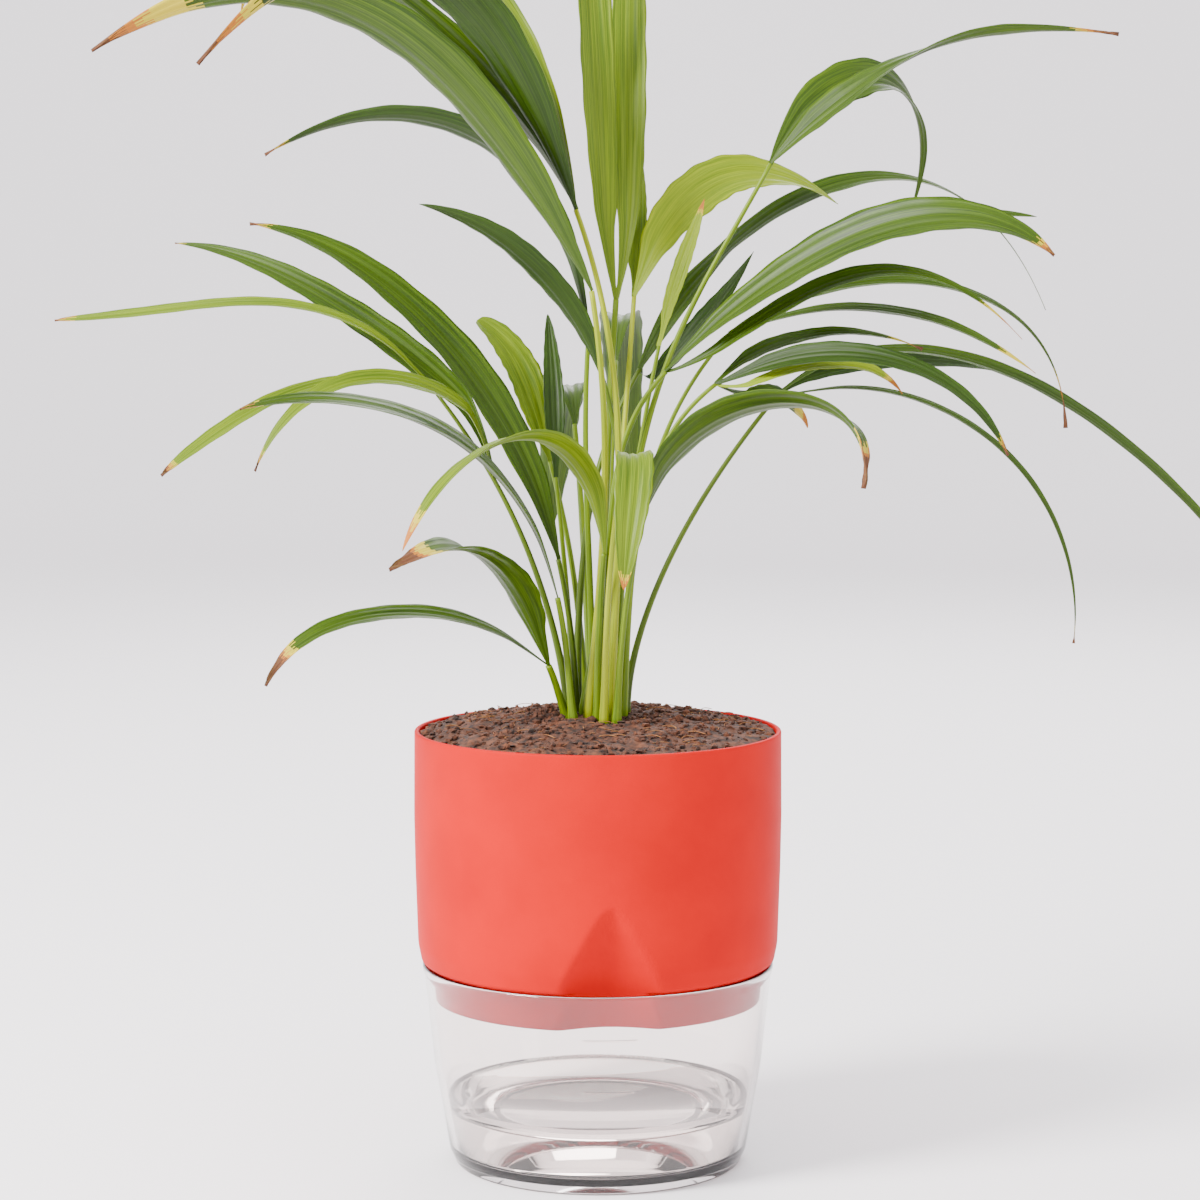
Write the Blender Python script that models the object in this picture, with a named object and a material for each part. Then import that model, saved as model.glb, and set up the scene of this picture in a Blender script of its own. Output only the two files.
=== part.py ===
"""A potted areca palm: a self-watering pot of a coral planter in a clear reservoir, with water,
soil, and the stems and blades of a young palm, each a solid of its own.  Metres, +Z up; the
origin is the centre of the reservoir's flat underside and the front looks along -Y."""
import math
import bpy
import bmesh
import numpy as np

for old in list(bpy.data.objects):
    bpy.data.objects.remove(old, do_unlink=True)

# ---- driving dimensions, in metres ---------------------------------------------------------
GAP = 0.0003                  # between touching pieces
SIDES = 48                    # of the turned pieces
RIM_R, RIM_Z = 0.0601, 0.1431             # the planter's rim
WALL = 0.0018                             # the planter's wall
SHOULDER_Z = 0.0667                       # where the planter sits on the reservoir
NECK_R, NECK_Z = 0.0537, 0.0545           # the planter's neck inside the reservoir
LIP_R, LIP_Z = 0.0578, 0.0663             # the reservoir's lip
FOOT_R = 0.0450                           # the reservoir's flat underside
FLOOR = 0.0030                            # its floor
WATER_Z = 0.0219                          # the water's surface
DENT_TOP_Z, DENT_TURN = 0.0975, -86.0     # the filling dent's upper end, and where it faces
DENT_WIDE, DENT_DEEP = 0.571, 0.325       # how fast it widens and deepens on its way down
SOIL_EDGE_Z, SOIL_TOP_Z = 0.1418, 0.1465  # the soil's edge and its middle
BLADE_T = 0.0011                          # a blade's thickness

# ---- the palm: sizes in millimetres and degrees -------------------------------------------
# A direction is (slant, forward): slant leans from upright as seen from the front, plus to
# the right, and forward turns it towards the front.  Every stem and blade is one smooth bend
# between its two ends, leaving and arriving in a given direction; "reach" says how far, as a
# share of the straight distance, each end direction is held.
FOOT_Z = 147

STEMS = {
    # name: foot (x, y), top (x, y, z), leaves, arrives, radius at foot and top, reach
    "stem_big_a":       ((4, -9),   (-7, -4, 312),  (2, 0),    (-20, -4), (1.5, 0.9), (.36, .36)),
    "stem_big_b":       ((-3, -3),  (-2, -12, 286), (5, 2),    (-9, 5),   (1.4, 0.9), (.36, .36)),
    "stem_left_top":    ((-2, 8),   (-3, 16, 272),  (1, -2),   (4, -5),   (1.2, 0.8), (.36, .36)),
    "stem_upright":     ((-1, 13),  (6, 25, 283),   (4, -3),   (4, -8),   (1.5, 1.0), (.36, .36)),
    "stem_young":       ((1, 4),    (12, 26, 284),  (4, -6),   (4, -12),  (1.2, 0.8), (.36, .36)),
    "stem_broad":       ((3, -4),   (22, -14, 260), (0, 0),    (43, 8),   (1.4, 0.9), (.60, .25)),
    "stem_pale":        ((5, 9),    (20, 12, 268),  (3, 0),    (12, -3),  (1.1, 0.7), (.36, .36)),
    "stem_high_right":  ((5, 1),    (56, 3, 327),   (2, 0),    (29, 0),   (1.3, 0.8), (.58, .34)),
    "stem_long_thin":   ((-7, 12),  (14, 30, 260),  (0, -5),   (30, -10), (1.2, 0.8), (.55, .25)),
    "stem_right_mid":   ((7, 14),   (43, 12, 272),  (4, 0),    (42, 0),   (1.2, 0.7), (.50, .30)),
    "stem_right_low":   ((8, -5),   (38, -4, 256),  (3, 0),    (52, 2),   (1.2, 0.8), (.50, .30)),
    "stem_lone_right":  ((9, 6),    (59, 22, 251),  (3, -2),   (40, -8),  (1.2, 0.8), (.30, .36)),
    "stem_brown_tip":   ((6, -14),  (14, -20, 213), (3, 0),    (13, 8),   (1.2, 0.8), (.36, .36)),
    "stem_front_fold":  ((2, -13),  (7, -22, 224),  (1, 3),    (8, 8),    (1.2, 0.8), (.36, .36)),
    "stem_front_arch":  ((0, -8),   (2, -28, 202),  (-1, 12),  (5, 22),   (1.3, 0.9), (.36, .36)),
    "stem_fan":         ((-10, -2), (-16, -9, 165), (-22, 15), (-23, 22), (1.4, 1.1), (.36, .36)),
    "stem_left_group":  ((-9, 3),   (-53, 18, 252), (-8, -3),  (-38, -8), (1.3, 0.7), (.36, .36)),
    "stem_left_low":    ((-8, -6),  (-13, -8, 187), (-6, 2),   (-12, 5),  (1.3, 1.0), (.36, .36)),
    "stem_left_long":   ((-7, 7),   (-13, 10, 198), (-2, -2),  (-13, -4), (1.3, 0.9), (.36, .36)),
    "stem_dark":        ((-5, 3),   (2, 14, 256),   (8, -4),   (-16, -4), (1.2, 0.8), (.40, .40)),
    "stem_round":       ((-4, 19),  (-16, 32, 229), (-3, -6),  (-15, -12), (1.2, 0.8), (.36, .36)),
    "stem_sliver":      ((-8, 17),  (-14, 30, 224), (-2, -6),  (-6, -12), (1.1, 0.7), (.36, .36)),
    "stem_back_a":      ((3, 19),   (6, 52, 262),   (1, -8),   (4, -35),  (1.3, 0.9), (.40, .30)),
    "stem_back_b":      ((-2, 24),  (-8, 60, 240),  (-3, -10), (-6, -35), (1.3, 0.9), (.40, .30)),
}

BLADES = {
    # name: stem, base (x, y, z), tip (x, y, z), leaves, arrives, width, widest at, tail,
    #       turns of the upper face to the front, reach
    "big_frond_outer":  ("stem_big_b", (-3, -13, 290), (-161, -10, 362), (-30, 0), (-122, 0), 20, .40, .75, (-38, -46, -46, -40), (.40, .55)),
    "big_frond_second": ("stem_big_a", (-8, -6, 316), (-116, 14, 376), (-31, 0), (-165, -5), 16, .35, .8, (-30, -38, -38, -30), (.42, .40)),
    "big_frond_third":  ("stem_big_a", (-9, -9, 318), (-122, -28, 355), (-20, 5), (-138, 5), 17, .40, .8, (-40, -53, -53, -40), (.55, .68)),
    "big_frond_inner":  ("stem_big_a", (-8, -2, 319), (-102, 40, 400), (-12, -10), (-120, -15), 15, .35, .8, (-40, -52, -52, -40), (.42, .40)),
    "left_top_blade":   ("stem_left_top", (-4, 17, 276), (-111, 36, 331), (-8, -5), (-120, -10), 12, .30, .9, (-40, -48, -40, -30), (.55, .45)),
    "upright_left":     ("stem_upright", (4, 26, 288), (-11, 70, 454), (-5, -8), (-12, -22), 12, .45, .6, (0, 0), (.36, .36)),
    "upright_right":    ("stem_upright", (9, 26, 288), (18, 76, 451), (4, -8), (12, -24), 12, .45, .6, (0, 0), (.36, .36)),
    "young_blade":      ("stem_young", (14, 26, 288), (81, 48, 315), (20, -8), (122, -10), 17, .40, .7, (40, 55, 50, 20), (.50, .50)),
    "pale_blade":       ("stem_pale", (21, 12, 271), (35, 20, 316), (12, -5), (16, -12), 6, .50, .8, (30, 35), (.36, .36)),
    "high_right_blade": ("stem_high_right", (58, 2, 330), (165, -14, 367), (50, 3), (97, 8), 12, .25, .8, (50, 45, 10, -25, -20), (.36, .50)),
    "high_right_hanging": ("stem_high_right", (57, 6, 331), (104, 34, 311), (35, -5), (196, -5), 16, .30, .9, (45, 50, 30, 5), (.85, .85)),
    "long_thin_blade":  ("stem_long_thin", (15, 31, 262), (157, 78, 279), (26, -10), (156, -12), 10, .15, 1.4, (60, 10, 45, 20, 20), (.40, .60)),
    "broad_right":      ("stem_broad", (24, -15, 262), (141, -46, 297), (46, 8), (132, 15), 17, .50, .7, (35, 48, 50, 30), (.36, .36)),
    "right_blade_a":    ("stem_broad", (26, -18, 258), (133, -34, 271), (54, 5), (138, 10), 8, .35, 1.2, (45, 45, 30), (.42, .50)),
    "right_blade_b":    ("stem_right_mid", (45, 14, 274), (154, 14, 241), (60, -2), (178, 0), 6, .20, 1.1, (30, 30, 15), (.46, .46)),
    "right_blade_c":    ("stem_right_mid", (45, 10, 272), (139, -22, 260), (66, 6), (128, 15), 6, .50, .9, (28, 28), (.36, .36)),
    "right_blade_d":    ("stem_right_low", (40, -2, 259), (106, 8, 267), (54, -5), (114, -8), 7, .25, 1.2, (33, 33), (.36, .36)),
    "right_blade_e":    ("stem_right_low", (40, -6, 256), (128, -42, 235), (60, 8), (157, 12), 8, .30, .7, (60, 55, 35, 40), (.40, .36)),
    "right_blade_f":    ("stem_lone_right", (60, 25, 253), (156, 46, 252), (62, -8), (118, -12), 7, .35, .8, (50, 50, 35), (.30, .30)),
    "right_long_blade": ("stem_lone_right", (61, 22, 255), (226, 12, 174), (56, 0), (152, 3), 7, .50, .6, (33, 33), (.36, .36)),
    "right_thread":     ("stem_lone_right", (61, 18, 251), (152, -24, 174), (74, 8), (187, 10), 4, .30, .8, (18, 18), (.42, .42)),
    "brown_tip_blade":  ("stem_brown_tip", (15, -21, 216), (80, -78, 227), (13, 14), (190, 12), 17, .40, .6, (0, -15, -25, -25), (.48, .46)),
    "front_fold_blade": ("stem_front_fold", (7, -23, 226), (8, -38, 194), (20, 20), (184, 0), 12, .50, .7, (0, 0), (.60, .60)),
    "dark_blade":       ("stem_dark", (1, 15, 259), (-58, 30, 314), (-18, -5), (-78, -10), 10, .40, .8, (-40, -50, -45), (.36, .36)),
    "left_long_blade":  ("stem_left_long", (-14, 10, 201), (-115, 24, 308), (-13, -3), (-84, -8), 14, .35, .8, (45, 45, 45, 35), (.38, .28)),
    "left_blade_a":     ("stem_left_group", (-35, 22, 240), (-144, 56, 302), (-45, -10), (-86, -16), 11, .30, .8, (50, 50, 50, 40), (.30, .30)),
    "left_blade_b":     ("stem_left_group", (-35, 8, 239), (-109, -24, 229), (-38, 8), (-160, 15), 8, .25, .8, (35, 40, 40), (.42, .50)),
    "left_blade_c":     ("stem_left_group", (-55, 19, 254), (-182, 36, 276), (-38, -5), (-92, -8), 6, .75, .5, (32, 32), (.42, .40)),
    "left_thread":      ("stem_left_group", (-55, 14, 252), (-138, -30, 228), (-66, 12), (-130, 15), 6, .70, .5, (32, 32), (.36, .36)),
    "left_low_blade":   ("stem_left_low", (-14, -9, 190), (-110, -56, 250), (-14, 6), (-102, 22), 15, .40, .6, (25, 20, 20), (.40, .40)),
    "front_arch_blade": ("stem_front_arch", (2, -29, 205), (-59, -76, 208), (-6, 18), (-156, 12), 13, .35, .7, (0, -10, -16, 0), (.62, .52)),
    "fan_blade":        ("stem_fan", (-17, -11, 168), (-64, -62, 201), (-20, 20), (-118, 25), 19, .45, .7, (0, 10), (.50, .40)),
    "fan_low_blade":    ("stem_fan", (-20, -7, 167), (-104, -46, 163), (-46, 15), (-156, 10), 9, .35, .6, (20, 30), (.34, .34)),
    "round_blade":      ("stem_round", (-17, 33, 232), (-41, 48, 276), (-16, -12), (-60, -15), 12, .50, .35, (40, 30), (.36, .36)),
    "sliver_blade":     ("stem_sliver", (-14, 31, 227), (-17, 46, 278), (-2, -12), (-6, -18), 7, .40, .6, (0, 0), (.36, .36)),
    "back_blade_a":     ("stem_back_a", (6, 54, 265), (14, 146, 205), (4, -35), (170, -30), 15, .40, .7, (0, 10), (.42, .42)),
    "back_blade_b":     ("stem_back_b", (-8, 62, 243), (-18, 140, 196), (-8, -40), (185, -30), 15, .40, .7, (0, -10), (.42, .42)),
}
# blades that go on from their stem in one piece, and blades split at their bend
WHOLE = {"upright_left": "stem_upright", "pale_blade": "stem_pale", "front_fold_blade": "stem_front_fold",
         "fan_blade": "stem_fan", "left_low_blade": "stem_left_low", "left_long_blade": "stem_left_long",
         "dark_blade": "stem_dark", "round_blade": "stem_round", "sliver_blade": "stem_sliver"}
SPLIT = ("big_frond_outer", "big_frond_third")


def aim(slant, forward):
    s, f = math.radians(slant), math.radians(forward)
    return np.array([math.sin(s) * math.cos(f), -math.sin(f), math.cos(s) * math.cos(f)])


def bend(start, leaves, end, arrives, reach, t):
    """Points and directions along one smooth bend at the shares t of its way."""
    start, end = np.array(start, float), np.array(end, float)
    far = np.linalg.norm(end - start)
    a = start + aim(*leaves) * far * reach[0]
    b = end - aim(*arrives) * far * reach[1]
    t = np.asarray(t, float)[:, None]
    p = (1-t)**3*start + 3*(1-t)**2*t*a + 3*(1-t)*t*t*b + t**3*end
    d = 3*(1-t)**2*(a-start) + 6*(1-t)*t*(b-a) + 3*t*t*(end-b)
    return p, d / np.linalg.norm(d, axis=1)[:, None]


def outline(u, peak, tail):
    """Half outline of a blade, 0 at both ends and 1 where it is widest."""
    u = np.asarray(u, float)
    rise = np.sin(np.pi / 2 * np.clip(u / peak, 0, 1)) ** .55
    fall = np.cos(np.pi / 2 * np.clip((u - peak) / (1 - peak), 0, 1)) ** tail
    return np.where(u < peak, rise, fall)


def across(p, d, heading, turn):
    """Sideways and upward directions of a blade that turns its face by `turn` degrees."""
    side = np.array([-math.sin(heading), math.cos(heading), 0.0])
    s = side - (d @ side)[:, None] * d
    s /= np.linalg.norm(s, axis=1)[:, None]
    n = np.cross(d, s)
    a = np.radians(turn)[:, None] * (1 if math.cos(heading) >= 0 else -1)
    s2 = s * np.cos(a) + n * np.sin(a)
    return s2, np.cross(d, s2)


def stem_path(name, shift, t):
    foot, top, leaves, arrives, radius, reach = STEMS[name]
    top = (top[0], top[1] + shift, top[2])
    p, d = bend((*foot, FOOT_Z), leaves, top, arrives, reach, t)
    r = radius[0] + (radius[1] - radius[0]) * np.asarray(t)
    return p, d, r


def blade_path(name, base_shift, tip_shift, t):
    stem, base, tip, leaves, arrives, width, peak, tail, turns, reach = BLADES[name]
    base = (base[0], base[1] + base_shift, base[2])
    tip = (tip[0], tip[1] + tip_shift, tip[2])
    p, d = bend(base, leaves, tip, arrives, reach, t)
    heading = math.atan2(tip[1] - base[1], tip[0] - base[0])
    turn = np.interp(t, np.linspace(0, 1, len(turns)), turns)
    s, n = across(p, d, heading, turn)
    return p, d, s, n, width / 2 * outline(t, peak, tail)


def ease_apart():
    """Leaves that would meet are moved apart in depth, a little at a time."""
    fine, rows = np.linspace(0, 1, 90), np.linspace(0, 1, 46)
    cols = np.linspace(-1, 1, 7)
    placed = []                       # (name, points, pad, low corner, high corner)

    def room(points, pad, free=None):
        lo, hi = points.min(0) - 6, points.max(0) + 6
        best = 99.0
        for name, q, qpad, qlo, qhi in placed:
            if name == free or (qlo > hi).any() or (qhi < lo).any():
                continue
            q2 = q[((q > lo) & (q < hi)).all(1)]
            if len(q2):
                gap = np.sqrt(((points[:, None] - q2[None]) ** 2).sum(2)).min() - pad - qpad
                best = min(best, gap)
        return best

    def put(name, points, pad):
        placed.append((name, points, pad, points.min(0), points.max(0)))

    stem_shift, blade_fit = {}, {}
    for name in STEMS:
        r = STEMS[name][4][0]
        trials = []
        for dy in (0, 2, -2, 4, -4, 6, -6, 8, -8, 10, -10, 13, -13):
            p = stem_path(name, dy, fine)[0]
            gap = room(p, r)
            trials.append((gap, dy, p))
            if gap > 0.6:
                break
        gap, dy, p = trials[-1] if trials[-1][0] > 0.6 else max(trials, key=lambda k: k[0])
        stem_shift[name] = dy
        put(name, p, r)
    for name, row in BLADES.items():
        stem, width = row[0], row[5]
        whole = name in WHOLE
        trials, found = [], None
        for dy in (0, 3, -3, 6, -6, 9, -9, 12, -12, 16, -16, 20, -20, 25, -25):
            for trim in ((0,) if whole else (0, .04, .08, .12, .16)):
                t = trim + (1 - trim) * rows
                p, d, s, n, w = blade_path(name, stem_shift[stem], dy, t)
                q = (p[:, None] + s[:, None] * w[:, None, None] * cols[None, :, None]).reshape(-1, 3)
                gap = room(q, 0.55, stem if whole else None)
                trials.append((gap, dy, trim, q))
                if gap > 1.0:
                    found = trials[-1]
                    break
            if found:
                break
        gap, dy, trim, q = found or max(trials, key=lambda k: k[0])
        blade_fit[name] = (stem_shift[stem], dy, trim)
        put(name, q, 0.55)
        if not found:
            print("close:", name, round(gap, 2))
    return stem_shift, blade_fit


# ---- shapes --------------------------------------------------------------------------------
def material(name, colour, rough, alpha=1.0):
    m = bpy.data.materials.new(name)
    m.use_nodes = True
    b = m.node_tree.nodes["Principled BSDF"]
    b.inputs["Base Color"].default_value = (*colour, 1.0)
    b.inputs["Roughness"].default_value = rough
    b.inputs["Alpha"].default_value = alpha
    return m


def put(name, points, faces, mat, smooth=True):
    mesh = bpy.data.meshes.new(name)
    mesh.from_pydata([tuple(p) for p in points], [], faces)
    bm = bmesh.new()
    bm.from_mesh(mesh)
    bmesh.ops.recalc_face_normals(bm, faces=bm.faces)
    if bm.calc_volume(signed=True) < 0:
        bmesh.ops.reverse_faces(bm, faces=bm.faces)
    bm.to_mesh(mesh)
    bm.free()
    mesh.materials.append(mat)
    if smooth:
        mesh.shade_smooth()
        mesh.set_sharp_from_angle(angle=math.radians(35))
    obj = bpy.data.objects.new(name, mesh)
    bpy.context.scene.collection.objects.link(obj)
    return obj


def turned(name, profile, mat, sides=SIDES):
    """Turn a half section round the upright axis; its first and last points lie on the axis."""
    pts, rings = [], []
    for r, z in profile:
        if r == 0:
            rings.append([len(pts)] * sides)
            pts.append((0, 0, z))
        else:
            rings.append(list(range(len(pts), len(pts) + sides)))
            pts += [(r * math.cos(2*math.pi*i/sides), r * math.sin(2*math.pi*i/sides), z) for i in range(sides)]
    faces = []
    for a, b in zip(rings, rings[1:]):
        for i in range(sides):
            j = (i + 1) % sides
            quad = [a[i], a[j], b[j], b[i]]
            face = []
            for v in quad:
                if v not in face:
                    face.append(v)
            if len(face) > 2:
                faces.append(face)
    return put(name, pts, faces, mat)


def swept(name, rings, mat):
    """A closed solid through six-sided rings of (middle, side, up, half width, half depth)."""
    pts, faces = [], []
    for c, s, n, a, b in rings:
        for k in range(6):
            w = math.pi * k / 3
            pts.append(c + s * a * math.cos(w) + n * b * math.sin(w))
    for i in range(len(rings) - 1):
        for k in range(6):
            j = (k + 1) % 6
            faces.append([6*i + k, 6*i + j, 6*i + 6 + j, 6*i + 6 + k])
    faces.append(list(range(6)))
    faces.append([6 * (len(rings) - 1) + k for k in range(6)])
    return put(name, [p * 0.001 for p in pts], faces, mat)


def boolean(target, other, how):
    m = target.modifiers.new(how, "BOOLEAN")
    m.operation, m.solver, m.object = how, "EXACT", other
    other.hide_render = True
    other.display_type = "WIRE"


def dent(name, grow, top_z, low_z):
    """The filling dent: a half cone that widens downward, laid on the planter's wall."""
    n, pts = 24, []
    h = top_z - low_z
    for z in (top_z + grow * 1.6, low_z):
        d = top_z + grow * 1.6 - z
        if d == 0:
            pts.append((RIM_R, 0, z))
            continue
        for i in range(n):
            w = 2 * math.pi * i / n
            pts.append((RIM_R + d * DENT_DEEP * math.cos(w), d * DENT_WIDE * math.sin(w), z))
    turn = math.radians(DENT_TURN)
    pts = [(x*math.cos(turn) - y*math.sin(turn), x*math.sin(turn) + y*math.cos(turn), z) for x, y, z in pts]
    faces = [[0, 1 + i, 1 + (i + 1) % n] for i in range(n)] + [list(range(1, n + 1))]
    return put(name, pts, faces, CORAL)


# ---- the pot -------------------------------------------------------------------------------
CORAL = material("coral_plastic", (0.78, 0.17, 0.13), 0.5)
CLEAR = material("clear_plastic", (0.93, 0.88, 0.86), 0.05, 0.35)
WATER = material("water", (0.90, 0.86, 0.82), 0.02, 0.35)
SOIL = material("soil", (0.075, 0.042, 0.026), 0.95)
LEAF = material("leaf", (0.17, 0.30, 0.04), 0.45)
STEM = material("stem", (0.42, 0.50, 0.09), 0.45)

planter = turned("planter", [
    (0, NECK_Z), (NECK_R - .0012, NECK_Z), (NECK_R, NECK_Z + .0015), (NECK_R + .0008, SHOULDER_Z), (.0576, SHOULDER_Z),
    (.0587, .0682), (.0592, .0730), (.0600, .0980), (.0603, .1150), (.0602, .1405), (RIM_R - .0002, .1427),
    (RIM_R - .0010, RIM_Z), (.0587, .1424), (.0584, .1405), (.0583, .1150), (.0579, .0780), (.0567, .0706),
    (.0519, .0690), (.0519, NECK_Z + .0030), (0, NECK_Z + .0030)], CORAL)
boss = dent("dent_back", .0030, DENT_TOP_Z, NECK_Z + .0008)
inside = turned("dent_limit", [(0, NECK_Z + .0008), (.0528, NECK_Z + .0008), (.0528, .0680), (.0586, .0712),
                               (.0590, .1150), (0, .1150)], CORAL)
boolean(boss, inside, "INTERSECT")
scoop = dent("dent_cut", 0.0, DENT_TOP_Z, NECK_Z - .0050)
boolean(planter, boss, "UNION")
boolean(planter, scoop, "DIFFERENCE")

reservoir = turned("reservoir", [
    (0, 0), (FOOT_R, 0), (.0478, .0012), (.0492, .0045), (.0514, .0184), (.0539, .0323), (.0571, .0625),
    (LIP_R, .0642), (LIP_R, LIP_Z), (.0558, LIP_Z), (.0552, .0625), (.0519, .0323), (.0494, .0184),
    (.0474, .0060), (.0458, .0036), (.0448, FLOOR), (0, FLOOR)], CLEAR)
water = turned("water", [
    (0, FLOOR + GAP), (.0443, FLOOR + GAP), (.0470, .0064), (.0490, .0184), (.0496, WATER_Z), (0, WATER_Z)],
    WATER, 36)
soil = turned("soil", [
    (0, .0579), (.0514, .0579), (.0514, .0695), (.0560, .0712), (.0574, .0790), (.0579, .1150), (.0579, SOIL_EDGE_Z),
    (.0500, SOIL_EDGE_Z + .0013), (.0350, SOIL_EDGE_Z + .0030), (.0180, SOIL_TOP_Z - .0004), (0, SOIL_TOP_Z)], SOIL, 36)
boolean(soil, dent("soil_dent", .0036, DENT_TOP_Z, NECK_Z), "DIFFERENCE")

# ---- the palm ------------------------------------------------------------------------------
STEM_SHIFT, BLADE_FIT = ease_apart()


def stem_rings(name, n, heading=None, last=1.0):
    t = np.linspace(0, last, n)
    p, d, r = stem_path(name, STEM_SHIFT[name], t)
    if heading is None:
        heading = math.atan2(p[-1][1] - p[0][1], p[-1][0] - p[0][0])
    s, up = across(p, d, heading, np.zeros(n))
    return [(p[i], s[i], up[i], r[i], r[i]) for i in range(n)]


def blade_rings(name, n, first, last=1.0):
    base_shift, tip_shift, _ = BLADE_FIT[name]
    t = np.linspace(first, last, n)
    p, d, s, up, w = blade_path(name, base_shift, tip_shift, t)
    half = BLADE_T * 500
    return [(p[i], s[i], up[i], max(w[i], 0.5), min(half, max(w[i], 0.4))) for i in range(n)]


for name, row in STEMS.items():
    if name not in WHOLE.values():
        swept(name, stem_rings(name, 8), STEM)
for name, row in BLADES.items():
    trim = BLADE_FIT[name][2]
    if name in WHOLE:
        rings = blade_rings(name, 9, .10)
        heading = math.atan2(row[2][1] - row[1][1], row[2][0] - row[1][0])
        swept(name, stem_rings(row[0], 7, heading, .96) + rings, LEAF)
    elif name in SPLIT:
        swept(name + "_low", blade_rings(name, 6, max(trim, .02), .585), LEAF)
        swept(name + "_tip", blade_rings(name, 6, .600, 1.0), LEAF)
    else:
        swept(name, blade_rings(name, 9, max(trim, .02)), LEAF)
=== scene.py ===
import math
import bpy
import bmesh
import numpy as np
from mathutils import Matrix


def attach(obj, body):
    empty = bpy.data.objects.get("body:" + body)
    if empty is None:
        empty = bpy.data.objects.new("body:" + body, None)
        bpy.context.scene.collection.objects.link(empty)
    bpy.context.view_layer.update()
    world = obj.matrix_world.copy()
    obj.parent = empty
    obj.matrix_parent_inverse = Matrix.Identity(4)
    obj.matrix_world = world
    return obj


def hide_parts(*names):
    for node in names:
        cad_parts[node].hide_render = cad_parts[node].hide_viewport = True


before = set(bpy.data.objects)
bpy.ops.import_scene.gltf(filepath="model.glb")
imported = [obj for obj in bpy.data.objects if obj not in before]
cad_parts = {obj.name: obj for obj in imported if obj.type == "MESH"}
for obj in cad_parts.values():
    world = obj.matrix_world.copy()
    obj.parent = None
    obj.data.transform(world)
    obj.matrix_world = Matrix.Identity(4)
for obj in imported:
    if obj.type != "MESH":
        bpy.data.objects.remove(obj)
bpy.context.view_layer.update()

rng = np.random.default_rng(7)

# the pot's sizes, in metres, as in the part
GAP = 0.0003
RIM_R, RIM_Z = 0.0601, 0.1431
SHOULDER_Z = 0.0667
NECK_R, NECK_Z = 0.0537, 0.0545
LIP_R, LIP_Z = 0.0578, 0.0663
FOOT_R, FLOOR, WATER_Z = 0.0450, 0.0030, 0.0219
DENT_TOP_Z, DENT_TURN, DENT_WIDE, DENT_DEEP = 0.0975, -86.0, 0.571, 0.325
SOIL_EDGE_Z, SOIL_TOP_Z = 0.1418, 0.1465

# ---- the palm: sizes in millimetres and degrees -------------------------------------------
# A direction is (slant, forward): slant leans from upright as seen from the front, plus to
# the right, and forward turns it towards the front.  Every stem and blade is one smooth bend
# between its two ends, leaving and arriving in a given direction; "reach" says how far, as a
# share of the straight distance, each end direction is held.
FOOT_Z = 147

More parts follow.
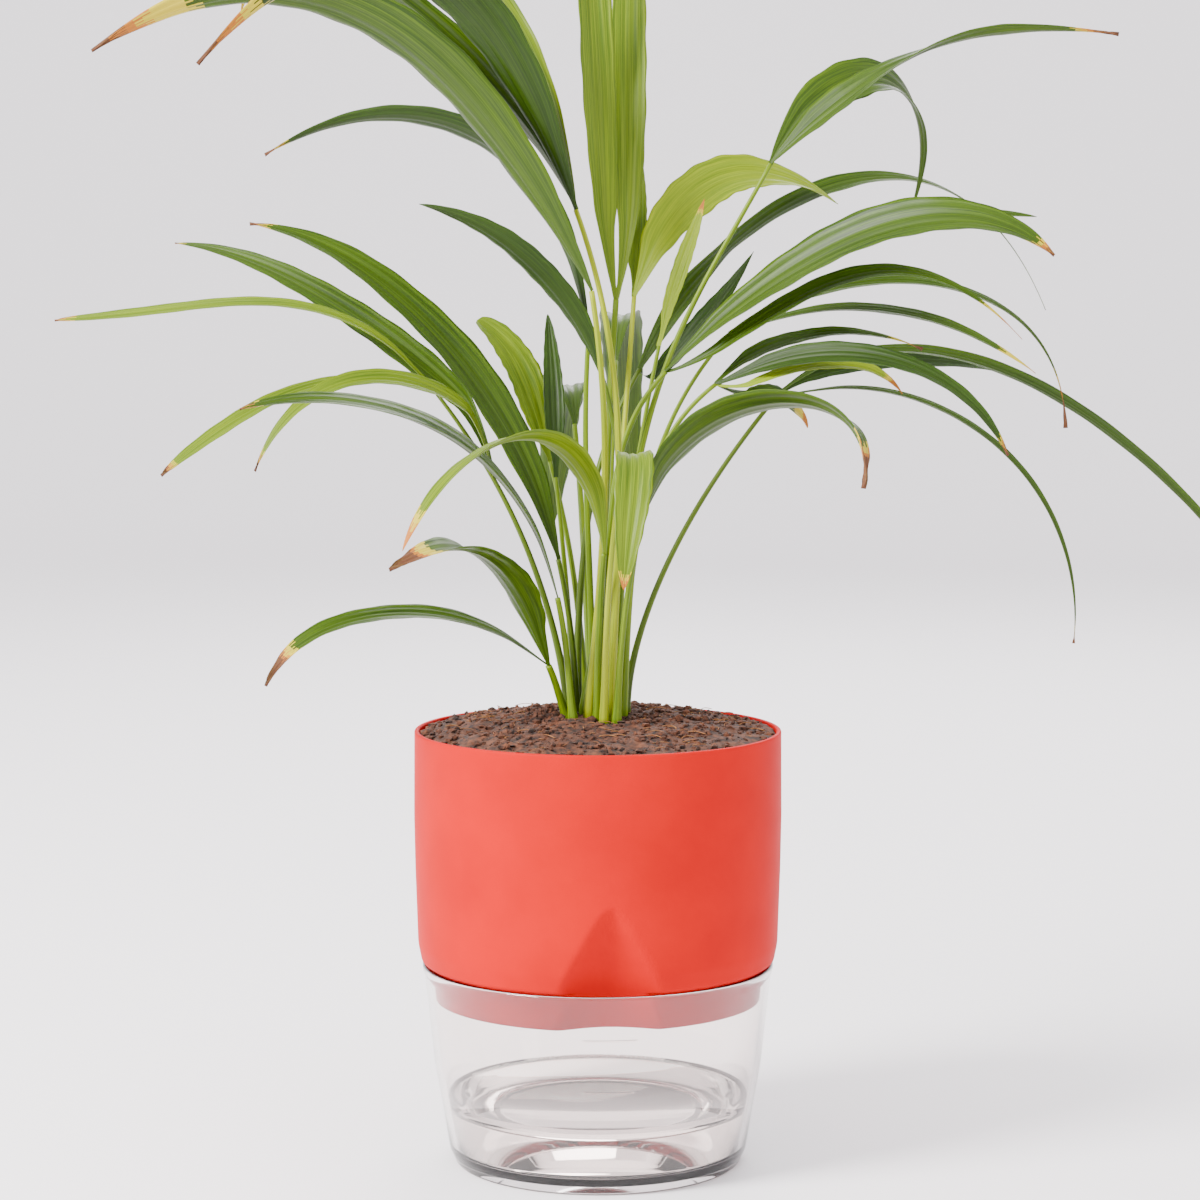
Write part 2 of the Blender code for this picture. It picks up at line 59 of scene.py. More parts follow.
STEMS = {
    # name: foot (x, y), top (x, y, z), leaves, arrives, radius at foot and top, reach
    "stem_big_a":       ((4, -9),   (-7, -4, 312),  (2, 0),    (-20, -4), (1.5, 0.9), (.36, .36)),
    "stem_big_b":       ((-3, -3),  (-2, -12, 286), (5, 2),    (-9, 5),   (1.4, 0.9), (.36, .36)),
    "stem_left_top":    ((-2, 8),   (-3, 16, 272),  (1, -2),   (4, -5),   (1.2, 0.8), (.36, .36)),
    "stem_upright":     ((-1, 13),  (6, 25, 283),   (4, -3),   (4, -8),   (1.5, 1.0), (.36, .36)),
    "stem_young":       ((1, 4),    (12, 26, 284),  (4, -6),   (4, -12),  (1.2, 0.8), (.36, .36)),
    "stem_broad":       ((3, -4),   (22, -14, 260), (0, 0),    (43, 8),   (1.4, 0.9), (.60, .25)),
    "stem_pale":        ((5, 9),    (20, 12, 268),  (3, 0),    (12, -3),  (1.1, 0.7), (.36, .36)),
    "stem_high_right":  ((5, 1),    (56, 3, 327),   (2, 0),    (29, 0),   (1.3, 0.8), (.58, .34)),
    "stem_long_thin":   ((-7, 12),  (14, 30, 260),  (0, -5),   (30, -10), (1.2, 0.8), (.55, .25)),
    "stem_right_mid":   ((7, 14),   (43, 12, 272),  (4, 0),    (42, 0),   (1.2, 0.7), (.50, .30)),
    "stem_right_low":   ((8, -5),   (38, -4, 256),  (3, 0),    (52, 2),   (1.2, 0.8), (.50, .30)),
    "stem_lone_right":  ((9, 6),    (59, 22, 251),  (3, -2),   (40, -8),  (1.2, 0.8), (.30, .36)),
    "stem_brown_tip":   ((6, -14),  (14, -20, 213), (3, 0),    (13, 8),   (1.2, 0.8), (.36, .36)),
    "stem_front_fold":  ((2, -13),  (7, -22, 224),  (1, 3),    (8, 8),    (1.2, 0.8), (.36, .36)),
    "stem_front_arch":  ((0, -8),   (2, -28, 202),  (-1, 12),  (5, 22),   (1.3, 0.9), (.36, .36)),
    "stem_fan":         ((-10, -2), (-16, -9, 165), (-22, 15), (-23, 22), (1.4, 1.1), (.36, .36)),
    "stem_left_group":  ((-9, 3),   (-53, 18, 252), (-8, -3),  (-38, -8), (1.3, 0.7), (.36, .36)),
    "stem_left_low":    ((-8, -6),  (-13, -8, 187), (-6, 2),   (-12, 5),  (1.3, 1.0), (.36, .36)),
    "stem_left_long":   ((-7, 7),   (-13, 10, 198), (-2, -2),  (-13, -4), (1.3, 0.9), (.36, .36)),
    "stem_dark":        ((-5, 3),   (2, 14, 256),   (8, -4),   (-16, -4), (1.2, 0.8), (.40, .40)),
    "stem_round":       ((-4, 19),  (-16, 32, 229), (-3, -6),  (-15, -12), (1.2, 0.8), (.36, .36)),
    "stem_sliver":      ((-8, 17),  (-14, 30, 224), (-2, -6),  (-6, -12), (1.1, 0.7), (.36, .36)),
    "stem_back_a":      ((3, 19),   (6, 52, 262),   (1, -8),   (4, -35),  (1.3, 0.9), (.40, .30)),
    "stem_back_b":      ((-2, 24),  (-8, 60, 240),  (-3, -10), (-6, -35), (1.3, 0.9), (.40, .30)),
}

BLADES = {
    # name: stem, base (x, y, z), tip (x, y, z), leaves, arrives, width, widest at, tail,
    #       turns of the upper face to the front, reach
    "big_frond_outer":  ("stem_big_b", (-3, -13, 290), (-161, -10, 362), (-30, 0), (-122, 0), 20, .40, .75, (-38, -46, -46, -40), (.40, .55)),
    "big_frond_second": ("stem_big_a", (-8, -6, 316), (-116, 14, 376), (-31, 0), (-165, -5), 16, .35, .8, (-30, -38, -38, -30), (.42, .40)),
    "big_frond_third":  ("stem_big_a", (-9, -9, 318), (-122, -28, 355), (-20, 5), (-138, 5), 17, .40, .8, (-40, -53, -53, -40), (.55, .68)),
    "big_frond_inner":  ("stem_big_a", (-8, -2, 319), (-102, 40, 400), (-12, -10), (-120, -15), 15, .35, .8, (-40, -52, -52, -40), (.42, .40)),
    "left_top_blade":   ("stem_left_top", (-4, 17, 276), (-111, 36, 331), (-8, -5), (-120, -10), 12, .30, .9, (-40, -48, -40, -30), (.55, .45)),
    "upright_left":     ("stem_upright", (4, 26, 288), (-11, 70, 454), (-5, -8), (-12, -22), 12, .45, .6, (0, 0), (.36, .36)),
    "upright_right":    ("stem_upright", (9, 26, 288), (18, 76, 451), (4, -8), (12, -24), 12, .45, .6, (0, 0), (.36, .36)),
    "young_blade":      ("stem_young", (14, 26, 288), (81, 48, 315), (20, -8), (122, -10), 17, .40, .7, (40, 55, 50, 20), (.50, .50)),
    "pale_blade":       ("stem_pale", (21, 12, 271), (35, 20, 316), (12, -5), (16, -12), 6, .50, .8, (30, 35), (.36, .36)),
    "high_right_blade": ("stem_high_right", (58, 2, 330), (165, -14, 367), (50, 3), (97, 8), 12, .25, .8, (50, 45, 10, -25, -20), (.36, .50)),
    "high_right_hanging": ("stem_high_right", (57, 6, 331), (104, 34, 311), (35, -5), (196, -5), 16, .30, .9, (45, 50, 30, 5), (.85, .85)),
    "long_thin_blade":  ("stem_long_thin", (15, 31, 262), (157, 78, 279), (26, -10), (156, -12), 10, .15, 1.4, (60, 10, 45, 20, 20), (.40, .60)),
    "broad_right":      ("stem_broad", (24, -15, 262), (141, -46, 297), (46, 8), (132, 15), 17, .50, .7, (35, 48, 50, 30), (.36, .36)),
    "right_blade_a":    ("stem_broad", (26, -18, 258), (133, -34, 271), (54, 5), (138, 10), 8, .35, 1.2, (45, 45, 30), (.42, .50)),
    "right_blade_b":    ("stem_right_mid", (45, 14, 274), (154, 14, 241), (60, -2), (178, 0), 6, .20, 1.1, (30, 30, 15), (.46, .46)),
    "right_blade_c":    ("stem_right_mid", (45, 10, 272), (139, -22, 260), (66, 6), (128, 15), 6, .50, .9, (28, 28), (.36, .36)),
    "right_blade_d":    ("stem_right_low", (40, -2, 259), (106, 8, 267), (54, -5), (114, -8), 7, .25, 1.2, (33, 33), (.36, .36)),
    "right_blade_e":    ("stem_right_low", (40, -6, 256), (128, -42, 235), (60, 8), (157, 12), 8, .30, .7, (60, 55, 35, 40), (.40, .36)),
    "right_blade_f":    ("stem_lone_right", (60, 25, 253), (156, 46, 252), (62, -8), (118, -12), 7, .35, .8, (50, 50, 35), (.30, .30)),
    "right_long_blade": ("stem_lone_right", (61, 22, 255), (226, 12, 174), (56, 0), (152, 3), 7, .50, .6, (33, 33), (.36, .36)),
    "right_thread":     ("stem_lone_right", (61, 18, 251), (152, -24, 174), (74, 8), (187, 10), 4, .30, .8, (18, 18), (.42, .42)),
    "brown_tip_blade":  ("stem_brown_tip", (15, -21, 216), (80, -78, 227), (13, 14), (190, 12), 17, .40, .6, (0, -15, -25, -25), (.48, .46)),
    "front_fold_blade": ("stem_front_fold", (7, -23, 226), (8, -38, 194), (20, 20), (184, 0), 12, .50, .7, (0, 0), (.60, .60)),
    "dark_blade":       ("stem_dark", (1, 15, 259), (-58, 30, 314), (-18, -5), (-78, -10), 10, .40, .8, (-40, -50, -45), (.36, .36)),
    "left_long_blade":  ("stem_left_long", (-14, 10, 201), (-115, 24, 308), (-13, -3), (-84, -8), 14, .35, .8, (45, 45, 45, 35), (.38, .28)),
    "left_blade_a":     ("stem_left_group", (-35, 22, 240), (-144, 56, 302), (-45, -10), (-86, -16), 11, .30, .8, (50, 50, 50, 40), (.30, .30)),
    "left_blade_b":     ("stem_left_group", (-35, 8, 239), (-109, -24, 229), (-38, 8), (-160, 15), 8, .25, .8, (35, 40, 40), (.42, .50)),
    "left_blade_c":     ("stem_left_group", (-55, 19, 254), (-182, 36, 276), (-38, -5), (-92, -8), 6, .75, .5, (32, 32), (.42, .40)),
    "left_thread":      ("stem_left_group", (-55, 14, 252), (-138, -30, 228), (-66, 12), (-130, 15), 6, .70, .5, (32, 32), (.36, .36)),
    "left_low_blade":   ("stem_left_low", (-14, -9, 190), (-110, -56, 250), (-14, 6), (-102, 22), 15, .40, .6, (25, 20, 20), (.40, .40)),
    "front_arch_blade": ("stem_front_arch", (2, -29, 205), (-59, -76, 208), (-6, 18), (-156, 12), 13, .35, .7, (0, -10, -16, 0), (.62, .52)),
    "fan_blade":        ("stem_fan", (-17, -11, 168), (-64, -62, 201), (-20, 20), (-118, 25), 19, .45, .7, (0, 10), (.50, .40)),
    "fan_low_blade":    ("stem_fan", (-20, -7, 167), (-104, -46, 163), (-46, 15), (-156, 10), 9, .35, .6, (20, 30), (.34, .34)),
    "round_blade":      ("stem_round", (-17, 33, 232), (-41, 48, 276), (-16, -12), (-60, -15), 12, .50, .35, (40, 30), (.36, .36)),
    "sliver_blade":     ("stem_sliver", (-14, 31, 227), (-17, 46, 278), (-2, -12), (-6, -18), 7, .40, .6, (0, 0), (.36, .36)),
    "back_blade_a":     ("stem_back_a", (6, 54, 265), (14, 146, 205), (4, -35), (170, -30), 15, .40, .7, (0, 10), (.42, .42)),
    "back_blade_b":     ("stem_back_b", (-8, 62, 243), (-18, 140, 196), (-8, -40), (185, -30), 15, .40, .7, (0, -10), (.42, .42)),
}
# blades that go on from their stem in one piece, and blades split at their bend
WHOLE = {"upright_left": "stem_upright", "pale_blade": "stem_pale", "front_fold_blade": "stem_front_fold",
         "fan_blade": "stem_fan", "left_low_blade": "stem_left_low", "left_long_blade": "stem_left_long",
         "dark_blade": "stem_dark", "round_blade": "stem_round", "sliver_blade": "stem_sliver"}
SPLIT = ("big_frond_outer", "big_frond_third")


def aim(slant, forward):
    s, f = math.radians(slant), math.radians(forward)
    return np.array([math.sin(s) * math.cos(f), -math.sin(f), math.cos(s) * math.cos(f)])


def bend(start, leaves, end, arrives, reach, t):
    """Points and directions along one smooth bend at the shares t of its way."""
    start, end = np.array(start, float), np.array(end, float)
    far = np.linalg.norm(end - start)
    a = start + aim(*leaves) * far * reach[0]
    b = end - aim(*arrives) * far * reach[1]
    t = np.asarray(t, float)[:, None]
    p = (1-t)**3*start + 3*(1-t)**2*t*a + 3*(1-t)*t*t*b + t**3*end
    d = 3*(1-t)**2*(a-start) + 6*(1-t)*t*(b-a) + 3*t*t*(end-b)
    return p, d / np.linalg.norm(d, axis=1)[:, None]


def outline(u, peak, tail):
    """Half outline of a blade, 0 at both ends and 1 where it is widest."""
    u = np.asarray(u, float)
    rise = np.sin(np.pi / 2 * np.clip(u / peak, 0, 1)) ** .55
    fall = np.cos(np.pi / 2 * np.clip((u - peak) / (1 - peak), 0, 1)) ** tail
    return np.where(u < peak, rise, fall)


def across(p, d, heading, turn):
    """Sideways and upward directions of a blade that turns its face by `turn` degrees."""
    side = np.array([-math.sin(heading), math.cos(heading), 0.0])
    s = side - (d @ side)[:, None] * d
    s /= np.linalg.norm(s, axis=1)[:, None]
    n = np.cross(d, s)
    a = np.radians(turn)[:, None] * (1 if math.cos(heading) >= 0 else -1)
    s2 = s * np.cos(a) + n * np.sin(a)
    return s2, np.cross(d, s2)


def stem_path(name, shift, t):
    foot, top, leaves, arrives, radius, reach = STEMS[name]
    top = (top[0], top[1] + shift, top[2])
    p, d = bend((*foot, FOOT_Z), leaves, top, arrives, reach, t)
    r = radius[0] + (radius[1] - radius[0]) * np.asarray(t)
    return p, d, r


def blade_path(name, base_shift, tip_shift, t):
    stem, base, tip, leaves, arrives, width, peak, tail, turns, reach = BLADES[name]
    base = (base[0], base[1] + base_shift, base[2])
    tip = (tip[0], tip[1] + tip_shift, tip[2])
    p, d = bend(base, leaves, tip, arrives, reach, t)
    heading = math.atan2(tip[1] - base[1], tip[0] - base[0])
    turn = np.interp(t, np.linspace(0, 1, len(turns)), turns)
    s, n = across(p, d, heading, turn)
    return p, d, s, n, width / 2 * outline(t, peak, tail)


def ease_apart():
    """Leaves that would meet are moved apart in depth, a little at a time."""
    fine, rows = np.linspace(0, 1, 90), np.linspace(0, 1, 46)
    cols = np.linspace(-1, 1, 7)
    placed = []                       # (name, points, pad, low corner, high corner)

    def room(points, pad, free=None):
        lo, hi = points.min(0) - 6, points.max(0) + 6
        best = 99.0
        for name, q, qpad, qlo, qhi in placed:
            if name == free or (qlo > hi).any() or (qhi < lo).any():
                continue
            q2 = q[((q > lo) & (q < hi)).all(1)]
            if len(q2):
                gap = np.sqrt(((points[:, None] - q2[None]) ** 2).sum(2)).min() - pad - qpad
                best = min(best, gap)
        return best

    def put(name, points, pad):
        placed.append((name, points, pad, points.min(0), points.max(0)))

    stem_shift, blade_fit = {}, {}
    for name in STEMS:
        r = STEMS[name][4][0]
        trials = []
        for dy in (0, 2, -2, 4, -4, 6, -6, 8, -8, 10, -10, 13, -13):
            p = stem_path(name, dy, fine)[0]
            gap = room(p, r)
            trials.append((gap, dy, p))
            if gap > 0.6:
                break
        gap, dy, p = trials[-1] if trials[-1][0] > 0.6 else max(trials, key=lambda k: k[0])
        stem_shift[name] = dy
        put(name, p, r)
    for name, row in BLADES.items():
        stem, width = row[0], row[5]
        whole = name in WHOLE
        trials, found = [], None
        for dy in (0, 3, -3, 6, -6, 9, -9, 12, -12, 16, -16, 20, -20, 25, -25):
            for trim in ((0,) if whole else (0, .04, .08, .12, .16)):
                t = trim + (1 - trim) * rows
                p, d, s, n, w = blade_path(name, stem_shift[stem], dy, t)
                q = (p[:, None] + s[:, None] * w[:, None, None] * cols[None, :, None]).reshape(-1, 3)
                gap = room(q, 0.55, stem if whole else None)
                trials.append((gap, dy, trim, q))
                if gap > 1.0:
                    found = trials[-1]
                    break
            if found:
                break
        gap, dy, trim, q = found or max(trials, key=lambda k: k[0])
        blade_fit[name] = (stem_shift[stem], dy, trim)
        put(name, q, 0.55)
        if not found:
            print("close:", name, round(gap, 2))
    return stem_shift, blade_fit

# smaller blades that only the looks carry, beside the ones the part has
BLADES.update({
    "extra_right_a": ("stem_broad", (24, 1, 262), (143, 10, 310), (49, -3), (97, 0), 8, .50, .6, (35, 35), (.36, .36)),
    "extra_right_b": ("stem_right_low", (42, -9, 253), (98, -34, 253), (64, 10), (145, 15), 6, .60, .8, (35, 35), (.36, .36)),
    "extra_right_c": ("stem_right_low", (46, 2, 251), (69, 22, 241), (72, -10), (156, -10), 10, .50, .6, (40, 40), (.36, .36)),
    "extra_dark": ("stem_long_thin", (15, 32, 252), (52, 34, 299), (40, 0), (30, 0), 8, .40, .9, (50, 50), (.36, .36)),
    "extra_young_back": ("stem_young", (12, 29, 288), (15, 46, 330), (4, -15), (2, -25), 6, .35, .9, (0, 0), (.36, .36)),
})
STEM_SHIFT, BLADE_FIT = ease_apart()


# ---- materials -----------------------------------------------------------------------------
def new_material(name):
    m = bpy.data.materials.new(name)
    m.use_nodes = True
    nt = m.node_tree
    return m, nt, nt.nodes["Principled BSDF"]


def ramp_between(nt, fac, low, high, lo=.35, hi=.65):
    r = nt.nodes.new("ShaderNodeValToRGB")
    r.color_ramp.elements[0].position, r.color_ramp.elements[1].position = lo, hi
    r.color_ramp.elements[0].color, r.color_ramp.elements[1].color = (*low, 1), (*high, 1)
    nt.links.new(fac, r.inputs[0])
    return r.outputs[0]


def streaked(name, low, high, rough=.42, along=3.0, cross=46.0, bump=.25):
    """Plant tissue: fine streaks that run along the blade or stem, over its length."""
    m, nt, b = new_material(name)
    uv = nt.nodes.new("ShaderNodeUVMap")
    mp = nt.nodes.new("ShaderNodeMapping")
    mp.inputs["Scale"].default_value = (along, cross, 1)
    nt.links.new(uv.outputs[0], mp.inputs[0])
    n = nt.nodes.new("ShaderNodeTexNoise")
    n.inputs["Scale"].default_value = 1.0
    n.inputs["Detail"].default_value = 4.0
    nt.links.new(mp.outputs[0], n.inputs["Vector"])
    nt.links.new(ramp_between(nt, n.outputs["Fac"], low, high), b.inputs["Base Color"])
    bp = nt.nodes.new("ShaderNodeBump")
    bp.inputs["Strength"].default_value = bump
    bp.inputs["Distance"].default_value = 0.0003
    nt.links.new(n.outputs["Fac"], bp.inputs["Height"])
    nt.links.new(bp.outputs[0], b.inputs["Normal"])
    b.inputs["Roughness"].default_value = rough
    b.inputs["Specular IOR Level"].default_value = 0.18
    b.inputs["Subsurface Weight"].default_value = 0.05
    b.inputs["Subsurface Radius"].default_value = (0.003, 0.004, 0.001)
    b.inputs["Subsurface Scale"].default_value = 0.3
    return m


GREENS = {
    "mid": streaked("leaf_mid", (0.009, 0.024, 0.0), (0.045, 0.085, 0.0)),
    "light": streaked("leaf_light", (0.038, 0.078, 0.0003), (0.135, 0.190, 0.0008)),
    "dark": streaked("leaf_dark", (0.006, 0.017, 0.0004), (0.024, 0.052, 0.001)),
    "lime": streaked("leaf_lime", (0.100, 0.160, 0.0005), (0.215, 0.275, 0.001)),
}
YELLOW = streaked("tip_yellow", (0.34, 0.27, 0.008), (0.46, 0.36, 0.02))
ORANGE = streaked("tip_orange", (0.28, 0.075, 0.006), (0.38, 0.14, 0.015), .55)
BROWN = streaked("tip_brown", (0.060, 0.020, 0.008), (0.15, 0.060, 0.028), .7, bump=.6)
RIB = streaked("leaf_rib", (0.36, 0.44, 0.09), (0.50, 0.56, 0.14))
STEMS_M = {
    "yellow": streaked("stem_yellow", (0.150, 0.200, 0.0010), (0.30, 0.33, 0.004), .38, 2, 10, .1),
    "olive": streaked("stem_olive", (0.030, 0.055, 0.0006), (0.075, 0.120, 0.001), .42, 2, 10, .1),
    "green": streaked("stem_green", (0.060, 0.110, 0.0008), (0.140, 0.205, 0.002), .40, 2, 10, .1),
}
TONE = {
    "big_frond_outer": "mid", "big_frond_second": "mid", "big_frond_third": "dark", "big_frond_inner": "light",
    "left_top_blade": "dark", "upright_left": "light", "upright_right": "light", "young_blade": "lime",
    "pale_blade": "lime", "dark_blade": "dark", "extra_dark": "dark", "extra_young_back": "light",
    "right_blade_e": "dark", "right_blade_f": "dark", "front_arch_blade": "light", "front_fold_blade": "light",
    "left_blade_c": "light", "left_thread": "light", "left_blade_b": "light", "round_blade": "light",
    "sliver_blade": "dark", "extra_right_b": "lime", "long_thin_blade": "mid",
}
# where each blade's yellow, orange and brown begin, as shares of its length
TIPS = {
    "big_frond_outer": (.86, .93, .965), "big_frond_third": (.88, .92, .96), "big_frond_second": (.93, .99, 1.1),
    "left_top_blade": (.955, .965, .975), "high_right_blade": (.92, .94, .96), "broad_right": (.955, .965, .985),
    "right_blade_a": (.90, .94, 1.1), "right_blade_b": (.88, .90, .93), "right_blade_c": (.88, .97, 1.1),
    "right_blade_d": (.84, .93, .95), "right_blade_e": (.95, .96, .97), "right_blade_f": (.91, .94, 1.1),
    "right_thread": (.97, .98, .985), "brown_tip_blade": (.86, .885, .90), "front_fold_blade": (.945, .965, 1.1),
    "left_long_blade": (.955, .965, .975), "left_blade_a": (.98, .985, .99), "left_blade_b": (.95, .96, .97),
    "left_thread": (.95, .96, .97), "left_low_blade": (.98, .985, .99), "front_arch_blade": (.90, .94, 1.1),
    "fan_blade": (.80, .86, .875), "fan_low_blade": (.84, .87, .885), "pale_blade": (.90, .93, 1.1),
    "extra_right_b": (.86, .90, 1.1), "extra_right_c": (.70, .85, 1.1), "left_blade_c": (.97, .98, .99),
}
STEM_TONE = {"stem_big_a": "yellow", "stem_big_b": "yellow", "stem_young": "yellow", "stem_pale": "green",
             "stem_upright": "green", "stem_front_fold": "yellow", "stem_left_group": "olive", "stem_dark": "olive",
             "stem_lone_right": "olive", "stem_left_long": "olive", "stem_long_thin": "olive"}


def mesh_object(name, pts, faces, mats, face_mat=None, uvs=None, smooth=True):
    mesh = bpy.data.meshes.new(name)
    mesh.from_pydata([tuple(p) for p in pts], [], faces)
    for m in mats:
        mesh.materials.append(m)
    if face_mat is not None:
        mesh.polygons.foreach_set("material_index", np.asarray(face_mat, dtype=np.int32))
    if uvs is not None:
        layer = mesh.uv_layers.new(name="UVMap")
        idx = np.empty(len(mesh.loops), dtype=np.int32)
        mesh.loops.foreach_get("vertex_index", idx)
        layer.data.foreach_set("uv", np.asarray(uvs, dtype=np.float32)[idx].ravel())
    if smooth:
        mesh.shade_smooth()
    obj = bpy.data.objects.new(name, mesh)
    bpy.context.scene.collection.objects.link(obj)
    return obj


def part(obj, slot, *nodes):
    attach(obj, "root")
    if nodes:
        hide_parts(*nodes)
    return obj


# ---- leaves --------------------------------------------------------------------------------
ROWS, COLS = 84, 15


def stem_mesh(name, n=44, sides=10):
    t = np.linspace(0, 1, n)
    p, d, r = stem_path(name, STEM_SHIFT[name], t)
    r = r * (1 + .55 * np.exp(-t / .10))          # the sheath at its foot
    heading = math.atan2(p[-1][1] - p[0][1], p[-1][0] - p[0][0])
    s, up = across(p, d, heading, np.zeros(n))
    p = p.copy()
    p[0, 2] -= 4                                   # its foot stands in the soil
    pts, uvs, faces = [], [], []
    for i in range(n):
        for k in range(sides):
            w = 2 * math.pi * k / sides
            dent = 1 - .22 * max(0.0, math.sin(w)) ** 3      # the channel on the upper side
            pts.append((p[i] + (s[i] * math.cos(w) + up[i] * math.sin(w) * dent) * r[i]) * .001)
            uvs.append((t[i], k / sides))
    for i in range(n - 1):
        for k in range(sides):
            j = (k + 1) % sides
            faces.append([sides*i + k, sides*i + j, sides*(i+1) + j, sides*(i+1) + k])
    faces.append(list(range(sides))[::-1])
    faces.append([sides * (n - 1) + k for k in range(sides)])
    return pts, faces, uvs, p[-1]


def blade_mesh(name, stem_top):
    row = BLADES[name]
    base_shift, tip_shift, _ = BLADE_FIT[name]
    t = np.linspace(0, 1, ROWS)
    p, d, s, up, w = blade_path(name, base_shift, tip_shift, t)
    join = np.clip(t / .12, 0, 1)[:, None]
    join = join * join * (3 - 2 * join)
    p = stem_top + (p - stem_top) * join           # the blade runs on out of its stem
    neck = np.clip(t / .15, 0, 1)
    w = w * (.22 + .78 * neck * neck * (3 - 2 * neck))       # it narrows into its stem
    w = np.maximum(w, .75 * (1 - t) + .12)
    seed = sum(ord(ch) for ch in name)
    wave = np.sin(t * (11 + seed % 7) + seed) * .35 * np.clip(w / 6, 0, 1)
    c = np.linspace(-1, 1, COLS)
    fold = .26 * np.abs(c) ** 1.2                  # the V of the blade
    pleat = .055 * np.cos(c * math.pi * 4.0) * (1 - .6 * np.abs(c))
    top_tip, orange, brown = TIPS.get(name, (1.2, 1.2, 1.2))
    shrivel = np.clip((t - brown) / max(1 - brown, .02), 0, 1)
    pts, uvs, tags = [], [], []
    for side in (1, -1):
        for i in range(ROWS):
            ww = w[i] * (1 - .45 * shrivel[i])
            for k in range(COLS):
                edge = 1 + .03 * math.sin(t[i] * 60 + seed + k) * abs(c[k])
                lift = (fold[k] + pleat[k]) * ww + wave[i] * c[k] ** 2 + shrivel[i] * .8 * math.sin(9 * c[k] + t[i] * 50)
                thick = .16 * side * (1 - .7 * abs(c[k])) * min(1, ww) + (.10 * side * (1 if abs(c[k]) < .05 else 0))
                pts.append((p[i] + s[i] * ww * c[k] * edge + up[i] * (lift + thick)) * .001)
                uvs.append((t[i], (c[k] + 1) / 2))
    faces, fm = [], []
    off = ROWS * COLS

    def zone(i, k):
        x = t[i] + .012 * math.sin(k * 2.3 + seed) + .018 * abs(c[k])
        if x > brown:
            return 3
        if x > orange:
            return 2
        if x > top_tip:
            return 1
        return 0
    for i in range(ROWS - 1):
        for k in range(COLS - 1):
            a, b2, cc, dd = i*COLS + k, i*COLS + k + 1, (i+1)*COLS + k + 1, (i+1)*COLS + k
            z = zone(i, k)
            faces.append([a, b2, cc, dd]); fm.append(z)
            faces.append([off + a, off + dd, off + cc, off + b2]); fm.append(z)
        for k in (0, COLS - 1):
            a, dd = i*COLS + k, (i+1)*COLS + k
            faces.append([a, dd, off + dd, off + a] if k == 0 else [a, off + a, off + dd, dd]); fm.append(zone(i, k))
    for i in (0, ROWS - 1):
        for k in range(COLS - 1):
            a, b2 = i*COLS + k, i*COLS + k + 1
            faces.append([a, off + a, off + b2, b2] if i == 0 else [a, b2, off + b2, off + a]); fm.append(zone(i, k))
    return pts, faces, uvs, fm


def outward(obj):
    bm = bmesh.new()
    bm.from_mesh(obj.data)
    bmesh.ops.recalc_face_normals(bm, faces=bm.faces)
    bm.to_mesh(obj.data)
    bm.free()


tops = {}
for name in STEMS:
    pts, faces, uvs, top = stem_mesh(name)
    tops[name] = top
    obj = mesh_object("petiole_" + name[5:], pts, faces, [STEMS_M[STEM_TONE.get(name, "green")]], uvs=uvs)
    outward(obj)
    part(obj, "stem", *([] if name in WHOLE.values() else [name]))
for name, row in BLADES.items():
    top = tops[row[0]]
    if name in ("left_blade_a", "left_blade_b"):   # these leave their stem lower down
        top = stem_path("stem_left_group", STEM_SHIFT["stem_left_group"], np.array([.72]))[0][0]
    pts, faces, uvs, fm = blade_mesh(name, top)
    obj = mesh_object("leaf_" + name, pts, faces, [GREENS[TONE.get(name, "mid")], YELLOW, ORANGE, BROWN], fm, uvs)
    outward(obj)
    nodes = [] if name.startswith("extra") else [name + "_low", name + "_tip"] if name in SPLIT else [name]
    part(obj, "leaf", *nodes)


# ---- the pot -------------------------------------------------------------------------------
def turned(name, profile, mat, sides):
    pts, rings = [], []
    for r, z in profile:
        if r == 0:
            rings.append([len(pts)] * sides)
            pts.append((0, 0, z))
        else:
            rings.append(list(range(len(pts), len(pts) + sides)))
            pts += [(r * math.cos(2*math.pi*i/sides), r * math.sin(2*math.pi*i/sides), z) for i in range(sides)]
    faces = []
    for a, b in zip(rings, rings[1:]):
        for i in range(sides):
            j = (i + 1) % sides
            face = []
            for v in (a[i], a[j], b[j], b[i]):
                if v not in face:
                    face.append(v)
            if len(face) > 2:
                faces.append(face)
    obj = mesh_object(name, pts, faces, [mat])
    outward(obj)
    bm = bmesh.new(); bm.from_mesh(obj.data)
    if bm.calc_volume(signed=True) < 0:
        bmesh.ops.reverse_faces(bm, faces=bm.faces); bm.to_mesh(obj.data)
    bm.free()
    return obj


def round_corners(profile, radius, steps=5):
    """Round the corners of a half section by cutting each with a small arc."""
    out = [profile[0]]
    for a, b, c in zip(profile, profile[1:], profile[2:]):
        a, b, c = np.array(a), np.array(b), np.array(c)
        u, v = a - b, c - b
        lu, lv = np.linalg.norm(u), np.linalg.norm(v)
        cut = min(radius, lu * .45, lv * .45)
        p, q = b + u / lu * cut, b + v / lv * cut
        for i in range(steps + 1):
            f = i / steps
            out.append(tuple((1-f)**2 * p + 2*(1-f)*f * b + f*f * q))
    out.append(profile[-1])
    return out


